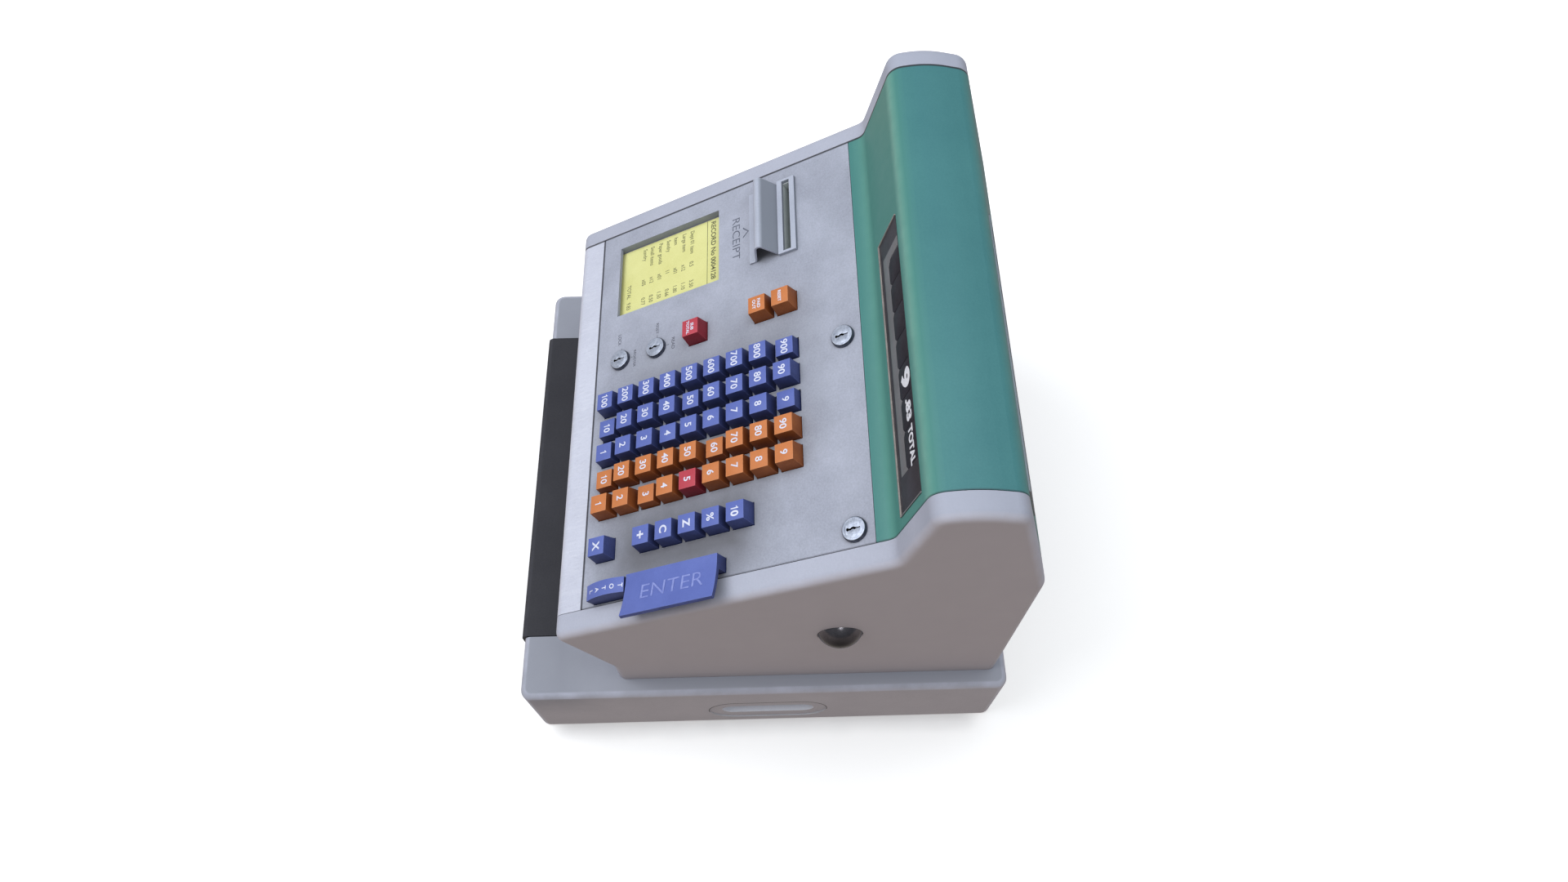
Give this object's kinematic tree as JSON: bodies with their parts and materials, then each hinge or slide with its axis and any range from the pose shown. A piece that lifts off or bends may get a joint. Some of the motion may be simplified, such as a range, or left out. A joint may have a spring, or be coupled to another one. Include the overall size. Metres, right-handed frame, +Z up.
{
  "type": "mechanical cash register",
  "caption": "Desk-top mechanical cash register with a sloped column keyboard, motor bar, indicator hood, receipt slot, journal window, locks and a sliding cash drawer in its base.",
  "frame": {"origin": "on the table plane under the middle of the overall box", "axes": "+X towards the user's right, -Y towards the user, +Z up"},
  "size_m": [0.3874, 0.3886, 0.3915],
  "materials": {
    "housing_paint": "satin pale blue-grey enamel",
    "hood_paint": "satin teal enamel",
    "panel_paint": "satin pale blue-grey enamel",
    "drawer_black": "satin black enamel",
    "steel": "plain steel sheet and rod",
    "motor_paint": "dark enamel",
    "bright_metal": "polished plate",
    "lock_metal": "worn nickel plate",
    "blue_plastic": "moulded blue key cap with white legend",
    "orange_plastic": "moulded orange key cap with white legend",
    "red_plastic": "moulded red key cap with white legend",
    "bezel_plastic": "dark grey window bezel with a pale border",
    "drum_plastic": "dark drums with white figures",
    "tray_plastic": "dark moulded tray",
    "paper": "pale yellow journal paper",
    "rubber": "black rubber"
  },
  "bodies": {
    "housing": {"base_shell": "housing_paint", "side_cover_left": "housing_paint", "side_cover_right": "housing_paint", "front_rail": "housing_paint", "back_cover": "housing_paint", "receipt_guide": "housing_paint", "key_panel": "panel_paint", "indicator_hood": "hood_paint", "base_plate": "steel", "drawer_runners": "steel", "frame_left": "steel", "frame_right": "steel", "key_guide_plate": "steel", "indicator_shaft": "steel", "base_screws": "steel", "drive_motor": "motor_paint", "rubber_feet": "rubber", "indicator_bezel": "bezel_plastic", "customer_bezel": "bezel_plastic", "journal_paper": "paper", "lock_rings": "lock_metal"},
    "drawer": {"drawer_box": "steel", "drawer_front": "drawer_black", "till_tray": "tray_plastic"},
    "drawer_latch": {"drawer_latch": "steel"},
    "main_shaft": {"main_shaft": "steel"},
    "motor_pinion": {"motor_pinion": "steel"},
    "journal_roll": {"journal_roll": "paper"},
    "takeup_spool": {"takeup_spool": "paper"},
    "release_button": {"release_button": "bright_metal"},
    "hundreds_drum": {"hundreds_drum": "drum_plastic"},
    "tens_drum": {"tens_drum": "drum_plastic"},
    "units_drum": {"units_drum": "drum_plastic"},
    "dimes_drum": {"dimes_drum": "drum_plastic"},
    "cents_drum": {"cents_drum": "drum_plastic"},
    "function_drum": {"function_drum": "drum_plastic"},
    "register_lock_plug": {"register_lock_plug": "lock_metal"},
    "reset_lock_plug": {"reset_lock_plug": "lock_metal"},
    "left_cover_lock_plug": {"left_cover_lock_plug": "lock_metal"},
    "right_cover_lock_plug": {"right_cover_lock_plug": "lock_metal"},
    "digit_1_keys": {"digit_1_keys": "blue_plastic"},
    "digit_2_keys": {"digit_2_keys": "blue_plastic"},
    "digit_3_keys": {"digit_3_keys": "blue_plastic"},
    "digit_4_keys": {"digit_4_keys": "blue_plastic"},
    "digit_5_keys": {"digit_5_keys": "blue_plastic"},
    "digit_6_keys": {"digit_6_keys": "blue_plastic"},
    "digit_7_keys": {"digit_7_keys": "blue_plastic"},
    "digit_8_keys": {"digit_8_keys": "blue_plastic"},
    "digit_9_keys": {"digit_9_keys": "blue_plastic"},
    "multiply_key": {"multiply_key": "blue_plastic"},
    "plus_key": {"plus_key": "blue_plastic"},
    "clear_key": {"clear_key": "blue_plastic"},
    "z_key": {"z_key": "blue_plastic"},
    "percent_key": {"percent_key": "blue_plastic"},
    "ten_key": {"ten_key": "blue_plastic"},
    "total_key": {"total_key": "blue_plastic"},
    "enter_bar": {"enter_bar": "blue_plastic"},
    "subtotal_key": {"subtotal_key": "red_plastic"},
    "paid_out_key": {"paid_out_key": "orange_plastic"},
    "reset_key": {"reset_key": "orange_plastic"}
  },
  "joints": [
    {"name": "drawer_slide", "type": "slide", "parent": "housing", "child": "drawer", "axis": [0, -1, 0], "range_m": [0, 0.26]},
    {"name": "latch_turn", "type": "hinge", "parent": "housing", "child": "drawer_latch", "pos_m": [0.1, 0.12125, 0.097], "axis": [-1, 0, 0], "range_deg": [0, 12], "stiffness_Nm_per_rad": 0.5, "springref_deg": -5.73},
    {"name": "main_shaft_spin", "type": "hinge", "parent": "housing", "child": "main_shaft", "pos_m": [0, 0.06125, 0.16], "axis": [1, 0, 0], "continuous": true},
    {"name": "motor_pinion_spin", "type": "hinge", "parent": "housing", "child": "motor_pinion", "pos_m": [-0.055, 0.11356, 0.13], "axis": [1, 0, 0], "continuous": true},
    {"name": "hundreds_drum_spin", "type": "hinge", "parent": "housing", "child": "hundreds_drum", "pos_m": [0, 0.11986, 0.35714], "axis": [1, 0, 0], "continuous": true},
    {"name": "tens_drum_spin", "type": "hinge", "parent": "housing", "child": "tens_drum", "pos_m": [0, 0.11986, 0.35714], "axis": [1, 0, 0], "continuous": true},
    {"name": "units_drum_spin", "type": "hinge", "parent": "housing", "child": "units_drum", "pos_m": [0, 0.11986, 0.35714], "axis": [1, 0, 0], "continuous": true},
    {"name": "dimes_drum_spin", "type": "hinge", "parent": "housing", "child": "dimes_drum", "pos_m": [0, 0.11986, 0.35714], "axis": [1, 0, 0], "continuous": true},
    {"name": "cents_drum_spin", "type": "hinge", "parent": "housing", "child": "cents_drum", "pos_m": [0, 0.11986, 0.35714], "axis": [1, 0, 0], "continuous": true},
    {"name": "function_drum_spin", "type": "hinge", "parent": "housing", "child": "function_drum", "pos_m": [0, 0.11986, 0.35714], "axis": [1, 0, 0], "continuous": true},
    {"name": "journal_roll_spin", "type": "hinge", "parent": "housing", "child": "journal_roll", "pos_m": [0, -0.01883, 0.23163], "axis": [1, 0, 0], "continuous": true},
    {"name": "takeup_spool_spin", "type": "hinge", "parent": "housing", "child": "takeup_spool", "pos_m": [0, -0.08872, 0.1929], "axis": [1, 0, 0], "continuous": true},
    {"name": "register_lock_turn", "type": "hinge", "parent": "housing", "child": "register_lock_plug", "pos_m": [-0.0353, -0.1037, 0.21889], "axis": [0, -0.4848, 0.8746], "range_deg": [0, 90]},
    {"name": "reset_lock_turn", "type": "hinge", "parent": "housing", "child": "reset_lock_plug", "pos_m": [-0.0353, -0.07422, 0.23523], "axis": [0, -0.4848, 0.8746], "range_deg": [0, 90]},
    {"name": "left_cover_lock_turn", "type": "hinge", "parent": "housing", "child": "left_cover_lock_plug", "pos_m": [0.008, 0.06292, 0.31125], "axis": [0, -0.4848, 0.8746], "range_deg": [0, 90]},
    {"name": "right_cover_lock_turn", "type": "hinge", "parent": "housing", "child": "right_cover_lock_plug", "pos_m": [0.1509, 0.06292, 0.31125], "axis": [0, -0.4848, 0.8746], "range_deg": [0, 90]},
    {"name": "release_button_press", "type": "slide", "parent": "housing", "child": "release_button", "axis": [-1, 0, 0], "range_m": [0, 0.005], "stiffness_N_per_m": 300, "springref_m": -0.003},
    {"name": "digit_1_keys_press", "type": "slide", "parent": "housing", "child": "digit_1_keys", "axis": [0, 0.4848, -0.8746], "range_m": [0, 0.005], "stiffness_N_per_m": 300, "springref_m": -0.004},
    {"name": "digit_2_keys_press", "type": "slide", "parent": "housing", "child": "digit_2_keys", "axis": [0, 0.4848, -0.8746], "range_m": [0, 0.005], "stiffness_N_per_m": 300, "springref_m": -0.004},
    {"name": "digit_3_keys_press", "type": "slide", "parent": "housing", "child": "digit_3_keys", "axis": [0, 0.4848, -0.8746], "range_m": [0, 0.005], "stiffness_N_per_m": 300, "springref_m": -0.004},
    {"name": "digit_4_keys_press", "type": "slide", "parent": "housing", "child": "digit_4_keys", "axis": [0, 0.4848, -0.8746], "range_m": [0, 0.005], "stiffness_N_per_m": 300, "springref_m": -0.004},
    {"name": "digit_5_keys_press", "type": "slide", "parent": "housing", "child": "digit_5_keys", "axis": [0, 0.4848, -0.8746], "range_m": [0, 0.005], "stiffness_N_per_m": 300, "springref_m": -0.004},
    {"name": "digit_6_keys_press", "type": "slide", "parent": "housing", "child": "digit_6_keys", "axis": [0, 0.4848, -0.8746], "range_m": [0, 0.005], "stiffness_N_per_m": 300, "springref_m": -0.004},
    {"name": "digit_7_keys_press", "type": "slide", "parent": "housing", "child": "digit_7_keys", "axis": [0, 0.4848, -0.8746], "range_m": [0, 0.005], "stiffness_N_per_m": 300, "springref_m": -0.004},
    {"name": "digit_8_keys_press", "type": "slide", "parent": "housing", "child": "digit_8_keys", "axis": [0, 0.4848, -0.8746], "range_m": [0, 0.005], "stiffness_N_per_m": 300, "springref_m": -0.004},
    {"name": "digit_9_keys_press", "type": "slide", "parent": "housing", "child": "digit_9_keys", "axis": [0, 0.4848, -0.8746], "range_m": [0, 0.005], "stiffness_N_per_m": 300, "springref_m": -0.004},
    {"name": "multiply_key_press", "type": "slide", "parent": "housing", "child": "multiply_key", "axis": [0, 0.4848, -0.8746], "range_m": [0, 0.005], "stiffness_N_per_m": 300, "springref_m": -0.004},
    {"name": "plus_key_press", "type": "slide", "parent": "housing", "child": "plus_key", "axis": [0, 0.4848, -0.8746], "range_m": [0, 0.005], "stiffness_N_per_m": 300, "springref_m": -0.004},
    {"name": "clear_key_press", "type": "slide", "parent": "housing", "child": "clear_key", "axis": [0, 0.4848, -0.8746], "range_m": [0, 0.005], "stiffness_N_per_m": 300, "springref_m": -0.004},
    {"name": "z_key_press", "type": "slide", "parent": "housing", "child": "z_key", "axis": [0, 0.4848, -0.8746], "range_m": [0, 0.005], "stiffness_N_per_m": 300, "springref_m": -0.004},
    {"name": "percent_key_press", "type": "slide", "parent": "housing", "child": "percent_key", "axis": [0, 0.4848, -0.8746], "range_m": [0, 0.005], "stiffness_N_per_m": 300, "springref_m": -0.004},
    {"name": "ten_key_press", "type": "slide", "parent": "housing", "child": "ten_key", "axis": [0, 0.4848, -0.8746], "range_m": [0, 0.005], "stiffness_N_per_m": 300, "springref_m": -0.004},
    {"name": "total_key_press", "type": "slide", "parent": "housing", "child": "total_key", "axis": [0, 0.4848, -0.8746], "range_m": [0, 0.005], "stiffness_N_per_m": 300, "springref_m": -0.004},
    {"name": "enter_bar_press", "type": "slide", "parent": "housing", "child": "enter_bar", "axis": [0, 0.4848, -0.8746], "range_m": [0, 0.005], "stiffness_N_per_m": 300, "springref_m": -0.004},
    {"name": "subtotal_key_press", "type": "slide", "parent": "housing", "child": "subtotal_key", "axis": [0, 0.4848, -0.8746], "range_m": [0, 0.005], "stiffness_N_per_m": 300, "springref_m": -0.004},
    {"name": "paid_out_key_press", "type": "slide", "parent": "housing", "child": "paid_out_key", "axis": [0, 0.4848, -0.8746], "range_m": [0, 0.005], "stiffness_N_per_m": 300, "springref_m": -0.004},
    {"name": "reset_key_press", "type": "slide", "parent": "housing", "child": "reset_key", "axis": [0, 0.4848, -0.8746], "range_m": [0, 0.005], "stiffness_N_per_m": 300, "springref_m": -0.004}
  ],
  "couplings": [
    {"joint": "motor_pinion_spin", "follows": "main_shaft_spin", "ratio": -4},
    {"joint": "takeup_spool_spin", "follows": "journal_roll_spin", "ratio": 1.5}
  ]
}
